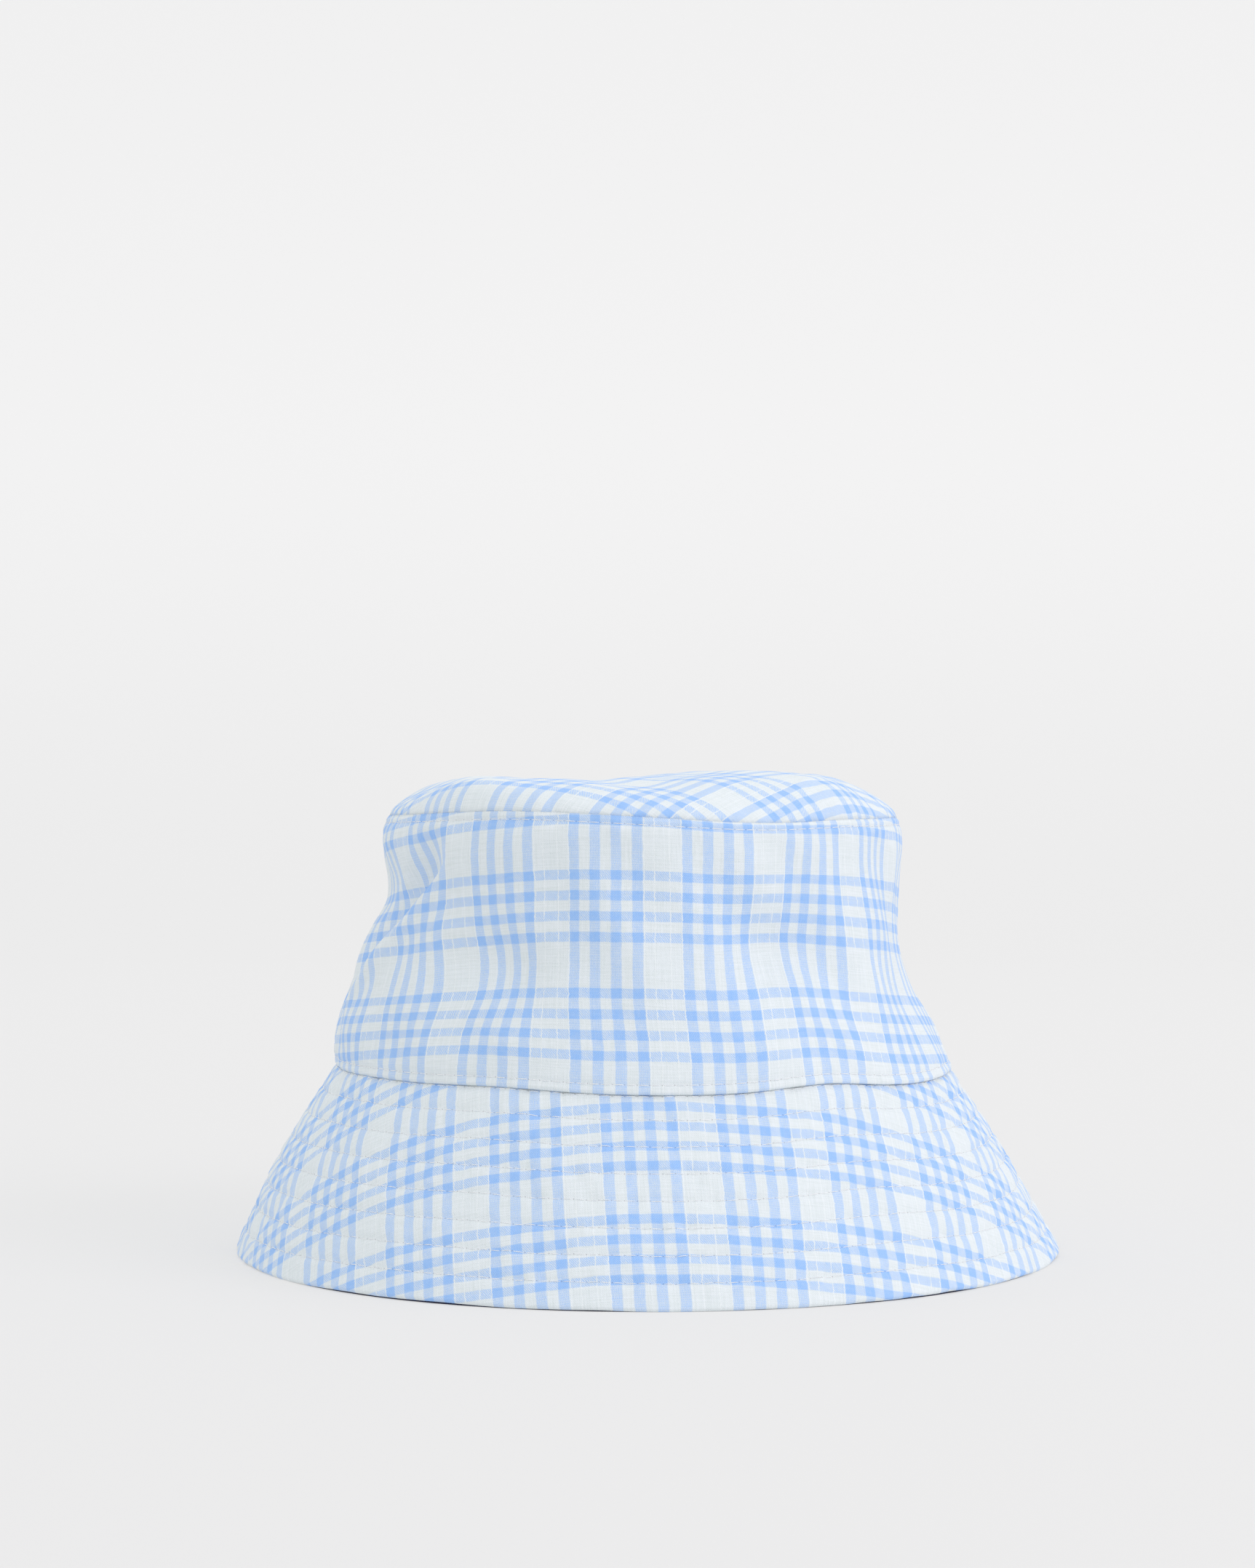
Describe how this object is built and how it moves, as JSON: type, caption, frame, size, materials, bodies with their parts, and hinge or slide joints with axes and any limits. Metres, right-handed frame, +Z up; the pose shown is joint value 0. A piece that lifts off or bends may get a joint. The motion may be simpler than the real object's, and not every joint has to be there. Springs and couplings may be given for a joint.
{
  "type": "bucket hat",
  "caption": "Lined plaid cotton bucket hat with a domed tip, a two-panel crown and a sloping brim held by rows of topstitching.",
  "frame": {"origin": "on the table, under the middle of the oval brim edge that the hat stands on", "axes": "+Z up through the crown, -Y the hat's front, X across its width through the two side seams"},
  "size_m": [0.24, 0.2568, 0.137],
  "materials": {
    "plaid_cotton": "yarn-dyed seersucker-like cotton plaid, matt",
    "navy_cotton": "plain-weave cotton, matt",
    "interlining_canvas": "plain-weave canvas, matt",
    "navy_lining": "plain-weave cotton lining, matt",
    "navy_sweatband": "grosgrain ribbon, matt",
    "white_thread": "twisted sewing thread, soft sheen",
    "navy_thread": "twisted sewing thread, soft sheen",
    "label_satin": "blank woven satin"
  },
  "bodies": {
    "hat": {"crown_tip": "plaid_cotton", "crown_side_front": "plaid_cotton", "crown_side_back": "plaid_cotton", "brim_upper_front": "plaid_cotton", "brim_upper_back": "plaid_cotton", "brim_interlining_front": "interlining_canvas", "brim_interlining_back": "interlining_canvas", "brim_under_front": "navy_cotton", "brim_under_back": "navy_cotton", "lining_tip": "navy_lining", "lining_side_front": "navy_lining", "lining_side_back": "navy_lining", "sweatband": "navy_sweatband", "tip_topstitch": "white_thread", "crown_base_topstitch": "white_thread", "brim_stitch_row_0": "white_thread", "brim_stitch_row_1": "white_thread", "brim_stitch_row_2": "white_thread", "brim_stitch_row_3": "white_thread", "brim_stitch_row_4": "white_thread", "brim_stitch_row_5": "white_thread", "brim_stitch_row_6": "white_thread", "brim_stitch_row_7": "white_thread", "sweatband_stitch": "navy_thread", "care_label_stitch": "white_thread"},
    "label": {"care_label": "label_satin"}
  },
  "joints": [
    {"name": "label_swing", "type": "hinge", "parent": "hat", "child": "label", "pos_m": [0, 0.07677, 0.1214], "axis": [-1, 0, 0], "range_deg": [0, 85]}
  ]
}
